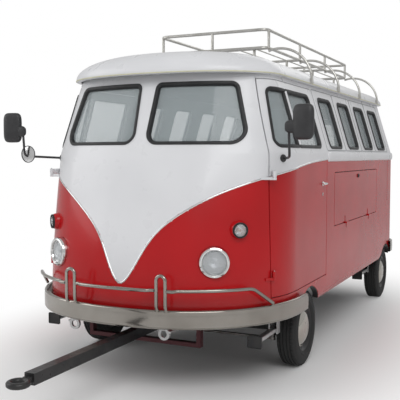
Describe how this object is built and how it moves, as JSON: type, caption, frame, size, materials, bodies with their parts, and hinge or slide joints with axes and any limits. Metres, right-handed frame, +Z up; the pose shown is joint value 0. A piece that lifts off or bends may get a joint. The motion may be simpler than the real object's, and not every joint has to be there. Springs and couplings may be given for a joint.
{
  "type": "towed food trailer",
  "caption": "Four-wheeled towed food trailer shaped like a classic split-windscreen bus, with a drawbar, opening doors and flaps, corner steadies and a roof rack.",
  "frame": {"origin": "on the ground under the middle of the whole vehicle, drawbar and mirrors included", "axes": "-Y forward along the drawbar, +X to the vehicle's left, +Z up"},
  "size_m": [2.5612, 5.97, 2.72],
  "materials": {
    "red_paint": "gloss",
    "white_paint": "gloss",
    "window_glass": "clear, lightly grey",
    "polished_steel": "polished stainless",
    "polished_cap": "polished wheel with a domed cap",
    "lamp_chrome": "chrome bezel and clear lens",
    "red_lens": "moulded lens",
    "galvanised_steel": "galvanised",
    "bright_fittings": "satin chrome",
    "mirror_black": "grained black",
    "maroon_paint": "satin primer",
    "floor_board": "sealed board",
    "chassis_black": "satin",
    "tyre_rubber": "rubber"
  },
  "bodies": {
    "root": {"chassis_frame": "chassis_black", "floor_pan": "floor_board", "nose_panel": "red_paint", "left_side_panel": "red_paint", "right_side_panel": "red_paint", "tail_panel": "red_paint", "roof_panel": "white_paint", "fixed_glass": "window_glass", "hinge_pins": "bright_fittings", "front_bumper": "polished_steel", "bumper_rails": "polished_steel", "overriders": "polished_steel", "rear_bumper": "polished_steel", "front_lamps": "lamp_chrome", "tail_lamps": "red_lens", "tow_eyes": "galvanised_steel", "roof_rack": "polished_steel", "roof_hoops": "polished_steel", "front_axle": "chassis_black", "rear_axle": "chassis_black", "steady_brackets": "galvanised_steel", "drawbar_guide": "maroon_paint"},
    "drawbar": {"drawbar": "chassis_black"},
    "track_rod": {"track_rod": "galvanised_steel"},
    "left_knuckle": {"left_knuckle": "chassis_black"},
    "right_knuckle": {"right_knuckle": "chassis_black"},
    "front_left_wheel": {"front_left_tyre": "tyre_rubber", "front_left_wheel": "polished_cap"},
    "front_right_wheel": {"front_right_tyre": "tyre_rubber", "front_right_wheel": "polished_cap"},
    "rear_left_wheel": {"rear_left_tyre": "tyre_rubber", "rear_left_wheel": "polished_cap"},
    "rear_right_wheel": {"rear_right_tyre": "tyre_rubber", "rear_right_wheel": "polished_cap"},
    "left_door": {"left_door": "red_paint", "left_door_glass": "window_glass", "left_door_fittings": "bright_fittings", "left_mirror": "mirror_black"},
    "right_door": {"right_door": "red_paint", "right_door_glass": "window_glass", "right_door_fittings": "bright_fittings", "right_mirror": "mirror_black"},
    "left_flap": {"left_flap": "red_paint"},
    "right_flap": {"right_flap": "red_paint"},
    "rear_door": {"rear_door": "red_paint", "rear_door_glass": "window_glass", "rear_door_fittings": "bright_fittings"},
    "front_left_steady": {"front_left_steady": "chassis_black"},
    "front_right_steady": {"front_right_steady": "chassis_black"},
    "rear_left_steady": {"rear_left_steady": "chassis_black"},
    "rear_right_steady": {"rear_right_steady": "chassis_black"}
  },
  "joints": [
    {"name": "drawbar_swing", "type": "hinge", "parent": "root", "child": "drawbar", "pos_m": [0, -0.645, 0.376], "axis": [0, 0, 1], "range_deg": [-24, 24]},
    {"name": "left_steer", "type": "hinge", "parent": "root", "child": "left_knuckle", "pos_m": [0.765, -0.645, 0.295], "axis": [0, 0, 1], "range_deg": [-24, 24]},
    {"name": "right_steer", "type": "hinge", "parent": "root", "child": "right_knuckle", "pos_m": [-0.765, -0.645, 0.295], "axis": [0, 0, 1], "range_deg": [-24, 24]},
    {"name": "track_rod_turn", "type": "hinge", "parent": "drawbar", "child": "track_rod", "pos_m": [0, -0.845, 0.237], "axis": [0, 0, 1], "range_deg": [-24, 24]},
    {"name": "front_left_wheel_spin", "type": "hinge", "parent": "left_knuckle", "child": "front_left_wheel", "pos_m": [0.89, -0.645, 0.295], "axis": [1, 0, 0], "continuous": true},
    {"name": "front_right_wheel_spin", "type": "hinge", "parent": "right_knuckle", "child": "front_right_wheel", "pos_m": [-0.89, -0.645, 0.295], "axis": [1, 0, 0], "continuous": true},
    {"name": "rear_left_wheel_spin", "type": "hinge", "parent": "root", "child": "rear_left_wheel", "pos_m": [0.89, 2.355, 0.295], "axis": [1, 0, 0], "continuous": true},
    {"name": "rear_right_wheel_spin", "type": "hinge", "parent": "root", "child": "rear_right_wheel", "pos_m": [-0.89, 2.355, 0.295], "axis": [1, 0, 0], "continuous": true},
    {"name": "left_door_swing", "type": "hinge", "parent": "root", "child": "left_door", "pos_m": [0.94816, -1.343, 1.2], "axis": [0, 0, -1], "range_deg": [0, 65]},
    {"name": "right_door_swing", "type": "hinge", "parent": "root", "child": "right_door", "pos_m": [-0.94816, -1.343, 1.2], "axis": [0, 0, 1], "range_deg": [0, 65]},
    {"name": "left_flap_fold", "type": "hinge", "parent": "root", "child": "left_flap", "pos_m": [1.01, 0.925, 1.0375], "axis": [0, 1, 0], "range_deg": [0, 90]},
    {"name": "right_flap_fold", "type": "hinge", "parent": "root", "child": "right_flap", "pos_m": [-1.01, 0.925, 1.0375], "axis": [0, -1, 0], "range_deg": [0, 90]},
    {"name": "rear_door_swing", "type": "hinge", "parent": "root", "child": "rear_door", "pos_m": [0.3525, 2.94, 1.2], "axis": [0, 0, -1], "range_deg": [0, 100]},
    {"name": "front_left_steady_fold", "type": "hinge", "parent": "root", "child": "front_left_steady", "pos_m": [0.85, -1.055, 0.36], "axis": [1, 0, 0], "range_deg": [0, 55]},
    {"name": "front_right_steady_fold", "type": "hinge", "parent": "root", "child": "front_right_steady", "pos_m": [-0.85, -1.055, 0.36], "axis": [1, 0, 0], "range_deg": [0, 55]},
    {"name": "rear_left_steady_fold", "type": "hinge", "parent": "root", "child": "rear_left_steady", "pos_m": [0.85, 2.005, 0.36], "axis": [1, 0, 0], "range_deg": [0, 55]},
    {"name": "rear_right_steady_fold", "type": "hinge", "parent": "root", "child": "rear_right_steady", "pos_m": [-0.85, 2.005, 0.36], "axis": [1, 0, 0], "range_deg": [0, 55]}
  ],
  "couplings": [
    {"joint": "left_steer", "follows": "drawbar_swing", "ratio": 1},
    {"joint": "right_steer", "follows": "drawbar_swing", "ratio": 1},
    {"joint": "track_rod_turn", "follows": "drawbar_swing", "ratio": -1}
  ]
}
